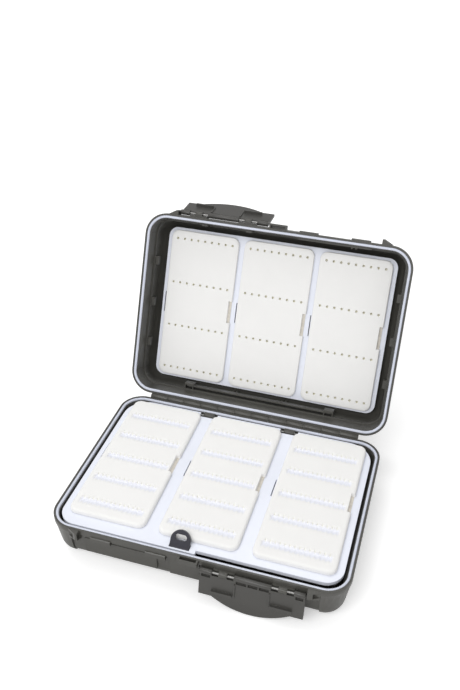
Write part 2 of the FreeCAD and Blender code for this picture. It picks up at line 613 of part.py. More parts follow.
def pad(x, y, length, z0, thick, rounding, notch_y):
    body = pad_blank(x, y, length, 0.0, z0, z0 + thick)
    body = body.makeFillet(rounding, edges_at(body, z0 + thick))
    edge = x + PAD_WIDTH / 2.0
    half = NOTCH_LENGTH / 2.0
    return body.cut(box(edge - NOTCH_DEPTH, edge + 1.0, notch_y - half, notch_y + half, z0 - 1.0, z0 + thick + 1.0))


def slit_pad(x):
    y = SLIT_PAD_SHIFT
    return pad(x, y, SLIT_PAD_LENGTH, -PAGE_TOP + BACKING, SLIT_PAD_THICK, PAD_ROUND, SLIT_NOTCH_SHIFT)


def hole_pad(x):
    foam = pad(-x, 0.0, HOLE_PAD_LENGTH, -TRAY_DEPTH + BACKING, HOLE_PAD_THICK, HOLE_PAD_ROUND, 0.0)
    return foam.mirror(V(0, 0, 0), V(1, 0, 0))


def lid_tray():
    # drawn face up at the origin of its own half, on the floor of the lid
    z1 = -TRAY_DEPTH
    z0 = z1 - TRAY_THICK
    hw = TRAY_WIDTH / 2.0
    hl = TRAY_LENGTH / 2.0
    r = TRAY_CORNER
    body = slab(-hw, hw, -hl, hl, (r, r, r, r), z0, z1)
    for i in (-1, 0, 1):
        x = i * HOLE_PAD_PITCH + PAD_WIDTH / 2.0 + 0.8
        body = body.cut(box(x, x + CLIP_SLOT, -CLIP_SLOT_LENGTH / 2.0, CLIP_SLOT_LENGTH / 2.0, z0 - 1.0, z1 + 1.0))
    posts = []
    for x in (POST_INSET - hw, 0.0, hw - POST_INSET):
        for y in (POST_INSET - hl, hl - POST_INSET):
            posts.append(Part.makeCylinder(POST_RADIUS, z0 - FLOOR_Z, V(x, y, FLOOR_Z)))
    return body.fuse(posts).removeSplitter()


def in_base(shape):
    placed = shape.copy()
    placed.translate(V(0, 0, HALF_HEIGHT))
    return placed


def in_lid(shape):
    # turn a half over onto the base, then swing it open about the hinge
    placed = shape.copy()
    placed.rotate(V(0, 0, 0), V(0, 1, 0), 180.0)
    placed.rotate(V(0, HINGE_Y, 0), V(1, 0, 0), -LID_OPEN)
    placed.translate(V(0, 0, HALF_HEIGHT))
    return placed


def opened_latch(angle):
    body = latch()
    body.rotate(V(0, LATCH_Y, LATCH_Z), V(1, 0, 0), angle)
    return body


def main():
    half_shell = shell(False)
    nodes = {
        "base_shell": in_base(shell(True)),
        "lid_shell": in_lid(half_shell),
        "base_seal": in_base(seal()),
        "lid_seal": in_lid(seal()),
        "hinge_pin": in_base(hinge_pin()),
        "base_latch": in_base(opened_latch(BASE_LATCH_OPEN)),
        "lid_latch": in_lid(opened_latch(LID_LATCH_OPEN)),
        "base_latch_pin": in_base(latch_pin()),
        "lid_latch_pin": in_lid(latch_pin()),
        "page": in_base(page()),
        "page_pins": in_base(page_pins()),
        "pull_ring": in_base(pull_ring()),
        "lid_tray": in_lid(lid_tray()),
    }
    for i, side in ((-1, "left"), (0, "middle"), (1, "right")):
        x = i * SLIT_PAD_PITCH
        sheet = pad_blank(x, SLIT_PAD_SHIFT, SLIT_PAD_LENGTH, BACKING_SHY, -PAGE_TOP, -PAGE_TOP + BACKING)
        nodes["slit_backing_" + side] = in_base(sheet)
        nodes["slit_pad_" + side] = in_base(slit_pad(x))
        # the lid frame is turned over, so its left pad lies on its own right
        x = -i * HOLE_PAD_PITCH
        sheet = pad_blank(x, 0.0, HOLE_PAD_LENGTH, BACKING_SHY, -TRAY_DEPTH, -TRAY_DEPTH + BACKING)
        nodes["hole_backing_" + side] = in_lid(sheet)
        nodes["hole_pad_" + side] = in_lid(hole_pad(x))
    os.makedirs("parts", exist_ok=True)
    for name, shape in nodes.items():
        shape.exportStep("parts/" + name + ".step")
        box_size = shape.BoundBox
        print(name, shape.isValid(), len(shape.Solids), round(shape.Volume, 1),
              [round(v, 1) for v in (box_size.XMin, box_size.XMax, box_size.YMin, box_size.YMax, box_size.ZMin,
                                     box_size.ZMax)])


main()
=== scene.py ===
import json
import math

import bpy
from bpy.props import FloatProperty, FloatVectorProperty, IntProperty, PointerProperty
from bpy.types import Operator, Panel, PropertyGroup
from mathutils import Matrix, Vector


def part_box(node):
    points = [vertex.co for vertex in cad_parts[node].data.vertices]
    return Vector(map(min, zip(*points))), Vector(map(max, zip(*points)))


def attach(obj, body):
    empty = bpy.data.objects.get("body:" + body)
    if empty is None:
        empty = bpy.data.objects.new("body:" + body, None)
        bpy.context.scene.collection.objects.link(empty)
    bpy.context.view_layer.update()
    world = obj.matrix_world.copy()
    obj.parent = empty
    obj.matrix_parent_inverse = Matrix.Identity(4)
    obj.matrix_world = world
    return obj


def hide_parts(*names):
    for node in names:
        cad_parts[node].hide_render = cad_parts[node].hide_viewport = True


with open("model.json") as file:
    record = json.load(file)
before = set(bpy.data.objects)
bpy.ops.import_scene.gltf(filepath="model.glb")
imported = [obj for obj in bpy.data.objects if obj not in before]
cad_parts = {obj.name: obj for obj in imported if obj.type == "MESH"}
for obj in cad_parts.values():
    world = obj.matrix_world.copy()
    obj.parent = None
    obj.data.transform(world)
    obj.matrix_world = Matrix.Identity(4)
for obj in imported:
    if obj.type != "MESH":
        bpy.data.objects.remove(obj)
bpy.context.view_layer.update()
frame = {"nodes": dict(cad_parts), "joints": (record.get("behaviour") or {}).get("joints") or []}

bl_info = {
    "name": "Fly Box",
    "version": (1, 0, 0),
    "blender": (4, 5, 0),
    "location": "View3D > Sidebar > Fly Box",
    "description": "Foam pads, finishes and stage for a hinged fly box",
    "category": "Object",
}

SIDES = ("left", "middle", "right")
OUTER = ("left", "right")
LID_HINGE = next(j for j in frame["joints"] if j["name"] == "lid_hinge")


def colour(name, text, value):
    """A colour that a user can set"""
    return FloatVectorProperty(name=name, description=text, default=value, size=3, subtype="COLOR", min=0.0,
                               max=1.0)


def length(name, text, value):
    """A length that a user can set"""
    return FloatProperty(name=name, description=text, default=value, unit="LENGTH", precision=5, min=0.0)


def position(name, text, value):
    """A place along an axis, on either side of the middle"""
    return FloatProperty(name=name, description=text, default=value, unit="LENGTH", precision=5)


def angle(name, text, degrees):
    """An angle, given here in degrees"""
    return FloatProperty(name=name, description=text, default=math.radians(degrees), subtype="ANGLE")


def power(name, text, value):
    """The power of a lamp"""
    return FloatProperty(name=name, description=text, default=value, min=0.0, unit="POWER")


def strength(name, text, value):
    """A strength, which has no unit"""
    return FloatProperty(name=name, description=text, default=value, min=0.0)


class FoamSizes(PropertyGroup):
    """Sizes of the foam pads"""

    corner: length("Corner", "Corner radius of every pad", 0.006)
    slit_edge: length("Slit pad edge", "Rounding round the top of a slit pad", 0.002)
    hole_edge: length("Hole pad edge", "Rounding round the top of a drilled pad", 0.0008)
    notch_length: length("Notch length", "Length of the lifting notch", 0.019)
    notch_depth: length("Notch depth", "Depth of the lifting notch", 0.003)
    slit_notch_at: position("Slit notch place", "Notch centre from the middle of the box", 0.004)
    first_row: position("First slit row", "Place of the slit row nearest the latch", -0.0495)
    row_pitch: length("Slit row pitch", "From one slit row to the next", 0.02495)
    rows: IntProperty(name="Slit rows", description="Slit rows on a pad", default=5, min=1)
    slits: IntProperty(name="Slits", description="Slits in a row", default=14, min=2)
    slit_pitch: length("Slit pitch", "From one slit to the next", 0.00357)
    slit_length: length("Slit length", "Cut behind the edge of the trough", 0.0024)
    slit_depth: length("Slit depth", "Depth of each cut", 0.0010)
    slit_half: length("Slit half width", "Half the width of a cut at the top", 0.00060)
    trough_half: length("Trough half length", "From the middle of a row to the end of its trough", 0.0262)
    trough_width: length("Trough width", "Trough from front to back", 0.0080)
    trough_depth: length("Trough depth", "Depth below the foam's face", 0.0016)
    hole_radius: length("Hole radius", "Radius of a drilled hole", 0.00088)
    hole_pitch: length("Hole pitch", "From one hole to the next", 0.00613)
    holes: IntProperty(name="Holes", description="Holes in a row", default=9, min=1)
    hole_row_pitch: length("Hole row pitch", "From one row of holes to the next", 0.038)
    hole_rows: IntProperty(name="Hole rows", description="Rows of holes on a pad", default=4, min=1)


class Finishes(PropertyGroup):
    """Colours of the finishes"""

    case: colour("Case", "Moulded case plastic", (0.070, 0.068, 0.060))
    latch: colour("Latch", "Latch plastic", (0.062, 0.060, 0.055))
    tray: colour("Tray", "White page and tray", (0.850, 0.878, 0.965))
    foam: colour("Foam", "Closed-cell foam", (0.900, 0.895, 0.880))
    # Painted shade: a darker, bluish tone laid into the slit troughs where shade falls
    painted_trough_shade: colour("Foam hollow", "Foam down in a trough", (0.850, 0.864, 0.935))
    # Painted shade: a darker, olive tone laid inside the slits and on the walls of the holes
    painted_cut_shade: colour("Foam cut", "Foam inside a slit or hole", (0.820, 0.815, 0.680))
    seal: colour("Seal", "Soft seal in the rim", (0.660, 0.690, 0.790))
    backing: colour("Backing", "Film under each pad", (0.700, 0.660, 0.590))
    ring: colour("Ring", "Pull ring", (0.020, 0.019, 0.030))
    steel: colour("Steel", "Hinge and latch pins", (0.260, 0.258, 0.250))


class StageSizes(PropertyGroup):
    """Camera, lamps and floor"""

    eye: FloatVectorProperty(name="Eye", description="Camera position", default=(0.1324, -0.4176, 0.4756),
                             size=3, unit="LENGTH", precision=4)
    azimuth: angle("Azimuth", "Camera turn from facing +Y", 16.97)
    elevation: angle("Elevation", "Camera tilt below level", 35.55)
    roll: angle("Roll", "Camera turn about its own line", 0.29)
    lens: FloatProperty(name="Lens", description="Focal length in millimetres", default=41.56, min=1.0)
    key: power("Key lamp", "Power of the soft lamp above and behind the box", 5.0)
    fill: power("Fill lamp", "Power of the soft lamp above and in front of the box", 12.2)
    ambient: strength("Ambient", "Strength of the pale surroundings", 0.56)
    floor: colour("Floor", "Floor colour that lights the box from below", (0.93, 0.93, 0.93))
    floor_seen: colour("Floor seen", "Floor colour that the camera sees, under the glow", (0.98, 0.98, 0.98))
    glow: strength("Floor glow", "Glow that keeps the far floor white in view", 0.47)
    glow_near: strength("Near glow", "Glow beside the box, where its shadow lies", 0.34)


# ---- finishes -------------------------------------------------------------------------------

GRAIN_DETAIL = 3.0
CLOUD_DETAIL = 4.0
CLOUD_IN_HEIGHT = 0.25          # share of the slow clouds in the height
CLOUD_LOW = 0.35                # clouds from here
CLOUD_HIGH = 0.65               # to here spread over the whole tint
BUMP_HEIGHT = 0.0002

EDGE_WIDTH = 0.0003             # rounding of moulded edges
EDGE_SEGMENTS = 2
SHARP_FROM = math.radians(35.0)     # edges at least this sharp are rounded
FLAT_WITHIN = math.radians(1.0)     # triangles that lie this flat are joined first
JOIN_WITHIN = 0.000005            # points this near are one point


def socket(tree, way, name, kind, value=None):
    """Adds a named input or output to a node group"""
    item = tree.interface.new_socket(name=name, in_out=way, socket_type=kind)
    if value is not None:
        item.default_value = value


def add(tree, kind, x, y, **values):
    """Adds a node at a place, with its settings"""
    node = tree.nodes.new(kind)
    node.location = (x, y)
    for key, value in values.items():
        setattr(node, key, value)
    return node


def grain_group():
    """Fine and broad surface change: a fast grain, slow clouds and a height for bump"""
    name = "Surface grain"
    if name in bpy.data.node_groups:
        return bpy.data.node_groups[name]
    tree = bpy.data.node_groups.new(name, "ShaderNodeTree")
    socket(tree, "INPUT", "Vector", "NodeSocketVector")
    socket(tree, "INPUT", "Grain scale", "NodeSocketFloat", 2500.0)
    socket(tree, "INPUT", "Cloud scale", "NodeSocketFloat", 40.0)
    socket(tree, "INPUT", "Cells", "NodeSocketFloat", 0.0)
    socket(tree, "OUTPUT", "Grain", "NodeSocketFloat")
    socket(tree, "OUTPUT", "Cloud", "NodeSocketFloat")
    socket(tree, "OUTPUT", "Height", "NodeSocketFloat")
    inp = add(tree, "NodeGroupInput", -800, 0)
    out = add(tree, "NodeGroupOutput", 500, 0)
    fine = add(tree, "ShaderNodeTexNoise", -500, 200)
    fine.inputs["Detail"].default_value = GRAIN_DETAIL
    cloud = add(tree, "ShaderNodeTexNoise", -500, -50)
    cloud.inputs["Detail"].default_value = CLOUD_DETAIL
    cells = add(tree, "ShaderNodeTexVoronoi", -500, -300)
    mix = add(tree, "ShaderNodeMix", -150, 100, data_type="FLOAT")
    height = add(tree, "ShaderNodeMath", 100, 100, operation="MULTIPLY_ADD")
    height.inputs[1].default_value = CLOUD_IN_HEIGHT
    link = tree.links.new
    for tex, scale in ((fine, "Grain scale"), (cloud, "Cloud scale"), (cells, "Grain scale")):
        link(inp.outputs["Vector"], tex.inputs["Vector"])
        link(inp.outputs[scale], tex.inputs["Scale"])
    link(inp.outputs["Cells"], mix.inputs["Factor"])
    link(fine.outputs["Fac"], mix.inputs["A"])
    link(cells.outputs["Distance"], mix.inputs["B"])
    link(cloud.outputs["Fac"], height.inputs[0])
    link(mix.outputs["Result"], height.inputs[2])
    link(mix.outputs["Result"], out.inputs["Grain"])
    link(cloud.outputs["Fac"], out.inputs["Cloud"])
    link(height.outputs["Value"], out.inputs["Height"])
    return tree


def finish(name, base, tone=0.88, rough=(0.4, 0.5), grain=2500.0, cloud=40.0, cells=0.0, bump=0.15,
           stretch=None, **shader):
    """A Principled finish whose colour, roughness and height change over the surface"""
    mat = bpy.data.materials.new(name)
    mat.use_nodes = True
    tree = mat.node_tree
    tree.nodes.clear()
    link = tree.links.new
    out = add(tree, "ShaderNodeOutputMaterial", 900, 0)
    bsdf = add(tree, "ShaderNodeBsdfPrincipled", 600, 0)
    coord = add(tree, "ShaderNodeTexCoord", -900, 0)
    source = coord.outputs["Object"]
    if stretch:
        mapping = add(tree, "ShaderNodeMapping", -700, 0)
        mapping.inputs["Scale"].default_value = stretch
        link(source, mapping.inputs["Vector"])
        source = mapping.outputs["Vector"]
    group = add(tree, "ShaderNodeGroup", -500, 0)
    group.node_tree = grain_group()
    group.inputs["Grain scale"].default_value = grain
    group.inputs["Cloud scale"].default_value = cloud
    group.inputs["Cells"].default_value = cells
    link(source, group.inputs["Vector"])
    spread = add(tree, "ShaderNodeMapRange", -200, 200)
    spread.inputs["From Min"].default_value = CLOUD_LOW
    spread.inputs["From Max"].default_value = CLOUD_HIGH
    link(group.outputs["Cloud"], spread.inputs["Value"])
    tint = add(tree, "ShaderNodeMix", 100, 200, data_type="RGBA")
    tint.inputs["A"].default_value = (*[c * tone for c in base], 1.0)
    tint.inputs["B"].default_value = (*[min(1.0, c * (2.0 - tone)) for c in base], 1.0)
    link(spread.outputs["Result"], tint.inputs["Factor"])
    shine = add(tree, "ShaderNodeMapRange", 100, -100)
    shine.inputs["To Min"].default_value = rough[0]
    shine.inputs["To Max"].default_value = rough[1]
    link(group.outputs["Grain"], shine.inputs["Value"])
    relief = add(tree, "ShaderNodeBump", 300, -350)
    relief.inputs["Strength"].default_value = bump
    relief.inputs["Distance"].default_value = BUMP_HEIGHT
    link(group.outputs["Height"], relief.inputs["Height"])
    link(tint.outputs["Result"], bsdf.inputs["Base Color"])
    link(shine.outputs["Result"], bsdf.inputs["Roughness"])
    link(relief.outputs["Normal"], bsdf.inputs["Normal"])
    link(bsdf.outputs["BSDF"], out.inputs["Surface"])
    for key, value in shader.items():
        bsdf.inputs[key.replace("_", " ")].default_value = value
    return mat


def foam_finish(name, settings):
    """Foam whose troughs and cuts take painted shade from the trough shade and cut attributes"""
    mat = finish(name, settings.foam, tone=0.994, rough=(0.75, 0.9), grain=2600.0, cloud=60.0, cells=0.75,
                 bump=0.16)
    tree = mat.node_tree
    bsdf = next(n for n in tree.nodes if n.type == "BSDF_PRINCIPLED")
    last = bsdf.inputs["Base Color"].links[0].from_socket
    # Painted shade: each attribute mixes its darker tone into the foam colour
    for i, (attribute, shade) in enumerate((("trough_shade", settings.painted_trough_shade), ("cut", settings.painted_cut_shade))):
        read = add(tree, "ShaderNodeAttribute", 100, 600 + 200 * i, attribute_name=attribute)
        mix = add(tree, "ShaderNodeMix", 350, 500 + 200 * i, data_type="RGBA")
        mix.inputs["B"].default_value = (*shade, 1.0)
        tree.links.new(read.outputs["Fac"], mix.inputs["Factor"])
        tree.links.new(last, mix.inputs["A"])
        last = mix.outputs["Result"]
    tree.links.new(last, bsdf.inputs["Base Color"])
    return mat


def soften(names):
    """Rounds the sharp edges of moulded nodes with live modifiers"""
    for name in names:
        node = frame["nodes"][name]
        weld = node.modifiers.new("Join", "WELD")
        weld.merge_threshold = JOIN_WITHIN
        flat = node.modifiers.new("Flats", "DECIMATE")
        flat.decimate_type = "DISSOLVE"
        flat.angle_limit = FLAT_WITHIN
        edge = node.modifiers.new("Edges", "BEVEL")
        edge.width = EDGE_WIDTH
        edge.segments = EDGE_SEGMENTS
        edge.limit_method = "ANGLE"
        edge.angle_limit = SHARP_FROM
        edge.use_clamp_overlap = True
        edge.harden_normals = True


def dress(names, mat):
    """Gives nodes their finish"""
    for name in names:
        node = frame["nodes"][name]
        if node.material_slots:
            node.material_slots[0].material = mat
        else:
            node.data.materials.append(mat)


# ---- foam pads ------------------------------------------------------------------------------

# Each row of slits has a trough on its latch side, which falls from the row and rises to the face again
TROUGH_END = 0.0022             # its ends run out over this length
TROUGH_FALL = 0.0009            # from its edge down to its floor
TROUGH_RISE_FROM = 0.0012       # its floor rises from here to its far side
SCALLOP = 0.0011                # its edge reaches back this far at each slit
PAINTED_SHADE_FROM = 0.0038              # the trough's painted shade fades from here
PAINTED_SHADE_TO = 0.0070                # to here
SLIT_START = 0.0003             # a slit deepens over this much on either side of the row
SLIT_STOP = 0.0008              # and runs out over this much at its far end
SLIT_SHADE = 0.6                 # how much of the painted cut shade the middle of a slit takes

# A drilled hole widens where it meets the face
BIT_SIDES = 18
FLARE_BELOW = 0.0004            # it widens from this far below the face
FLARE_HEIGHT = 0.0007           # over this height, which ends clear of the face
FLARE_WIDER = 1.5
UPWARD = 0.5                    # a face whose normal has more of Z than this faces up
WALL_REACH = 1.2                # a hole's wall lies within this many radii of its axis
WALL_BELOW = 0.0002             # and at least this far below the face

# Lines of the grid that a pad starts from
SLIT_GRID = 0.003               # spacing of the plain lines on a slit pad
HOLE_GRID = 0.006               # and on a drilled pad
EDGE_LINES = (0.0, 0.08, 0.3, 0.6, 1.0)     # across the rounded edge, in shares of its radius
ROW_LINES = (0.0042, 0.0033, 0.0028, 0.0022, 0.0012, 0.0007, 0.0004, 0.0001, -0.0002, -0.0005, -0.0008,
             -0.0012, -0.0020, -0.0030, -0.0042, -0.0055, -0.0068, -0.0078)     # from a row of slits
END_LINES = (-0.0002, 0.0007, 0.0015, 0.0024)   # inwards from the end of a trough
SLIT_LINE = 0.0011              # the outer lines beside a slit
SLIT_SHOULDER = 0.45            # the inner lines, in shares of its half width
LINE_GAP = 0.00012              # a plain line this near to a fine one is left out
LINE_DIGITS = 7                 # rounding, so that no line is laid twice

PAD_CREASE = math.radians(50.0)
DRILLED_CREASE = math.radians(40.0)


def ramp(value, low, high):
    """Smooth rise from 0 at low to 1 at high"""
    t = min(1.0, max(0.0, (value - low) / (high - low)))
    return t * t * (3.0 - 2.0 * t)


def lid_place():
    """Takes a point of the lid's own drawing, face up with its parting plane at zero, to its open place"""
    axle = Vector(LID_HINGE["pos_m"])
    opened = Matrix.Rotation(math.radians(LID_HINGE["range_deg"][0]), 4, "X")
    flat = Vector((0.0, axle.y, 0.0))
    return (Matrix.Translation(Vector((0.0, 0.0, axle.z))) @ Matrix.Translation(flat) @ opened
            @ Matrix.Translation(-flat) @ Matrix.Rotation(math.pi, 4, "Y"))


def own_box(node, place):
    """Lowest and highest corner of a CAD node in the drawing that place carries into the frame"""
    back = place.inverted()
    points = [back @ v.co for v in frame["nodes"][node].data.vertices]
    low = Vector([min(p[i] for p in points) for i in range(3)])
    high = Vector([max(p[i] for p in points) for i in range(3)])
    return low, high


def line_places(half, edge, corner, step, fine=()):
    """Grid lines from -half to half: close at the rounded edge, evenly spread inside, plus the fine ones"""
    ends = [share * edge for share in EDGE_LINES] + [0.5 * (edge + corner), corner]
    places = {round(s * (half - e), LINE_DIGITS) for e in ends for s in (-1, 1)}
    inner = half - corner
    count = max(1, math.ceil(2.0 * inner / step))
    places |= {round(-inner + 2.0 * inner * i / count, LINE_DIGITS) for i in range(count + 1)}
    close = sorted({round(f, LINE_DIGITS) for f in fine if abs(f) < half - edge})
    kept = [p for p in places if all(abs(p - f) > LINE_GAP for f in close) or abs(p) >= half - edge]
    return sorted(set(kept) | set(close))


def round_corner(x, y, half_x, half_y, corner):
    """Pulls a point of the square corner onto the rounded one; also gives its depth inside the edge"""
    a = (abs(x) - (half_x - corner)) / corner
    b = (abs(y) - (half_y - corner)) / corner
    if a <= 0.0 or b <= 0.0:
        return x, y, min(half_x - abs(x), half_y - abs(y))
    ra = a * math.sqrt(1.0 - b * b / 2.0)
    rb = b * math.sqrt(1.0 - a * a / 2.0)
    nx = math.copysign(half_x - corner + ra * corner, x)
    ny = math.copysign(half_y - corner + rb * corner, y)
    return nx, ny, corner * (1.0 - math.hypot(ra, rb))


def select_faces(mesh, wanted):
    """Selects the faces that pass a test, and stays in edit mode"""
    bpy.ops.object.mode_set(mode="EDIT")
    bpy.ops.mesh.select_all(action="DESELECT")
    bpy.ops.mesh.select_mode(type="FACE")
    bpy.ops.object.mode_set(mode="OBJECT")
    for face in mesh.polygons:
        face.select = wanted(face)
    bpy.ops.object.mode_set(mode="EDIT")


def shape_face(mesh, low, high, edge, xs, ys, shape):
    """Lays a grid on its lines, rounds and dips it, and notes how much painted trough shade and painted cut
    shade each point takes
    """
    corner = bpy.context.scene.fly_box_foam.corner
    half_x = (high.x - low.x) / 2.0
    half_y = (high.y - low.y) / 2.0
    mid = (low + high) / 2.0
    trough_shade = [0.0] * len(mesh.vertices)
    cut = [0.0] * len(mesh.vertices)
    for v in mesh.vertices:
        x = xs[round((v.co.x + 1.0) / 2.0 * (len(xs) - 1))]
        y = ys[round((v.co.y + 1.0) / 2.0 * (len(ys) - 1))]
        x, y, inside = round_corner(x, y, half_x, half_y, corner)
        rest = max(0.0, edge - inside)
        drop = edge - math.sqrt(max(0.0, edge * edge - rest * rest))
        dip, trough_shade[v.index], cut[v.index] = shape(x + mid.x, y + mid.y)
        v.co = (x + mid.x, y + mid.y, high.z - max(drop, dip))
    for title, values in (("trough_shade", trough_shade), ("cut", cut)):
        mesh.attributes.new(title, "FLOAT", "POINT").data.foreach_set("value", values)


def pad(name, low, high, edge, xs, ys, shape, notch):
    """A rounded pad: a grid shaped by height, its notch taken out, drawn down to its flat back"""
    sizes = bpy.context.scene.fly_box_foam
    bpy.ops.object.select_all(action="DESELECT")
    bpy.ops.mesh.primitive_grid_add(x_subdivisions=len(xs) - 1, y_subdivisions=len(ys) - 1, size=2.0)
    piece = bpy.context.active_object
    piece.name = name
    mesh = piece.data
    shape_face(mesh, low, high, edge, xs, ys, shape)
    side, at = notch
    mid = (low + high) / 2.0
    bound = side * (mid.x + side * ((high.x - low.x) / 2.0 - sizes.notch_depth))
    half_notch = sizes.notch_length / 2.0
    select_faces(mesh, lambda face: side * face.center.x > bound and abs(face.center.y - at) < half_notch)
    bpy.ops.mesh.delete(type="FACE")
    bpy.ops.mesh.select_mode(type="EDGE")
    bpy.ops.mesh.select_non_manifold()
    bpy.ops.mesh.extrude_region_move(TRANSFORM_OT_translate={"value": (0.0, 0.0, low.z - high.z)})
    bpy.ops.object.mode_set(mode="OBJECT")
    for v in mesh.vertices:
        if v.select:
            v.co.z = low.z
    bpy.ops.object.mode_set(mode="EDIT")
    bpy.ops.mesh.edge_face_add()
    bpy.ops.mesh.select_all(action="SELECT")
    bpy.ops.mesh.normals_make_consistent(inside=False)
    bpy.ops.object.mode_set(mode="OBJECT")
    bpy.ops.object.shade_smooth_by_angle(angle=PAD_CREASE)
    return piece


def seat(piece, node, body, mat):
    """Gives a pad its foam and its body, and hides the CAD node that it stands for"""
    piece.data.materials.clear()
    piece.data.materials.append(mat)
    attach(piece, body)
    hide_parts(node)


def copy_piece(piece, name, shift):
    """A copy with a mesh of its own, moved by shift"""
    twin = piece.copy()
    twin.data = piece.data.copy()
    twin.name = name
    twin.data.transform(Matrix.Translation(shift))
    bpy.context.collection.objects.link(twin)


def slit_shape(sizes, mid, rows, cuts):
    """Makes the function that gives a slit pad's depth, painted trough shade and painted cut shade at a point
    """

    def shape(x, y):
        near = min(abs(x - c) for c in cuts)
        wide = max(0.0, 1.0 - near / sizes.slit_half)
        ends = 1.0 - ramp(abs(x - mid.x), sizes.trough_half - TROUGH_END, sizes.trough_half)
        scallop = SCALLOP * (1.0 - ramp(near, 0.0, sizes.slit_pitch / 2.0)) * ends
        dip = 0.0
        trough_shade = 0.0
        groove = 0.0
        for row in rows:
            ahead = row + scallop - y
            fall = ramp(ahead, 0.0, TROUGH_FALL)
            rise = 1.0 - ramp(ahead, TROUGH_RISE_FROM, sizes.trough_width)
            trough = fall * rise * ends
            dip = max(dip, sizes.trough_depth * trough)
            # Painted shade down the trough, fading towards its far side
            trough_shade = max(trough_shade, fall * ends * (1.0 - ramp(ahead, PAINTED_SHADE_FROM, PAINTED_SHADE_TO)))
            behind = y - row
            stop = ramp(behind, sizes.slit_length - SLIT_STOP, sizes.slit_length)
            along = ramp(behind, -SLIT_START, SLIT_START) * (1.0 - stop)
            groove = max(groove, wide * along)
        return max(dip, sizes.slit_depth * groove), trough_shade * (1.0 - groove), SLIT_SHADE * groove

    return shape


def flat_shape(x, y):
    """A drilled pad's face has no dips, and its holes are cut later"""
    return 0.0, 0.0, 0.0


def drill_bits(sizes, x, y, top, deep):
    """A bit at the first hole, wider at the top, repeated over the rows of holes"""
    bpy.ops.object.select_all(action="DESELECT")
    bpy.ops.mesh.primitive_cylinder_add(vertices=BIT_SIDES, radius=sizes.hole_radius, depth=deep,
                                        location=(x, y, top - FLARE_BELOW - deep / 2.0))
    bits = bpy.context.active_object
    bpy.ops.object.transform_apply(location=True, rotation=False, scale=False)
    select_faces(bits.data, lambda face: face.normal.z > UPWARD)
    bpy.ops.mesh.extrude_region_move(TRANSFORM_OT_translate={"value": (0.0, 0.0, FLARE_HEIGHT)})
    bpy.ops.transform.resize(value=(FLARE_WIDER, FLARE_WIDER, 1.0))
    bpy.ops.object.mode_set(mode="OBJECT")
    for count, offset in ((sizes.holes, (sizes.hole_pitch, 0.0, 0.0)),
                          (sizes.hole_rows, (0.0, sizes.hole_row_pitch, 0.0))):
        array = bits.modifiers.new("Array", "ARRAY")
        array.count = count
        array.use_relative_offset = False
        array.use_constant_offset = True
        array.constant_offset_displace = offset
        bpy.ops.object.modifier_apply(modifier=array.name)
    return bits


def mark_holes(mesh, sizes, x, y, top):
    """Notes the points on the walls of the holes as cut, which take the painted cut shade"""
    cut = mesh.attributes.get("cut") or mesh.attributes.new("cut", "FLOAT", "POINT")
    values = []
    for v in mesh.vertices:
        column = round((v.co.x - x) / sizes.hole_pitch)
        row = round((v.co.y - y) / sizes.hole_row_pitch)
        dx = v.co.x - (x + column * sizes.hole_pitch)
        dy = v.co.y - (y + row * sizes.hole_row_pitch)
        drilled = 0 <= column < sizes.holes and 0 <= row < sizes.hole_rows
        wall = math.hypot(dx, dy) < sizes.hole_radius * WALL_REACH and v.co.z < top - WALL_BELOW
        values.append(1.0 if drilled and wall else 0.0)
    cut.data.foreach_set("value", values)


class FLYBOX_OT_slit_pads(Operator):
    """Build the three slit foam pads on the swing-up page"""

    bl_idname = "flybox.slit_pads"
    bl_label = "Slit pads"

    def execute(self, context):
        sizes = context.scene.fly_box_foam
        mat = foam_finish("Foam", context.scene.fly_box_finishes)
        low, high = own_box("slit_pad_middle", Matrix.Identity(4))
        mid = (low + high) / 2.0
        rows = [sizes.first_row + i * sizes.row_pitch for i in range(sizes.rows)]
        reach = (sizes.slits - 1) / 2.0 * sizes.slit_pitch
        cuts = [mid.x - reach + i * sizes.slit_pitch for i in range(sizes.slits)]
        half_x = (high.x - low.x) / 2.0
        half_y = (high.y - low.y) / 2.0
        half = sizes.slit_half
        beside = (-SLIT_LINE, -half, -half * SLIT_SHOULDER, 0.0, half * SLIT_SHOULDER, half, SLIT_LINE)
        fine_x = [c + o - mid.x for c in cuts for o in beside]
        fine_x += [s * (sizes.trough_half - o) for s in (-1, 1) for o in END_LINES]
        fine_x += [half_x - sizes.notch_depth]
        fine_y = [r + o - mid.y for r in rows for o in ROW_LINES]
        fine_y += [sizes.slit_notch_at - mid.y + s * sizes.notch_length / 2.0 for s in (-1, 1)]
        xs = line_places(half_x, sizes.slit_edge, sizes.corner, SLIT_GRID, fine_x)
        ys = line_places(half_y, sizes.slit_edge, sizes.corner, SLIT_GRID, fine_y)
        middle = pad("slit_foam_middle", low, high, sizes.slit_edge, xs, ys,
                     slit_shape(sizes, mid, rows, cuts), (1, sizes.slit_notch_at))
        for name in OUTER:
            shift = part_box("slit_pad_" + name)[0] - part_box("slit_pad_middle")[0]
            copy_piece(middle, "slit_foam_" + name, Vector((shift[0], 0.0, 0.0)))
        for name in SIDES:
            seat(bpy.data.objects["slit_foam_" + name], "slit_pad_" + name, "page", mat)
        return {"FINISHED"}


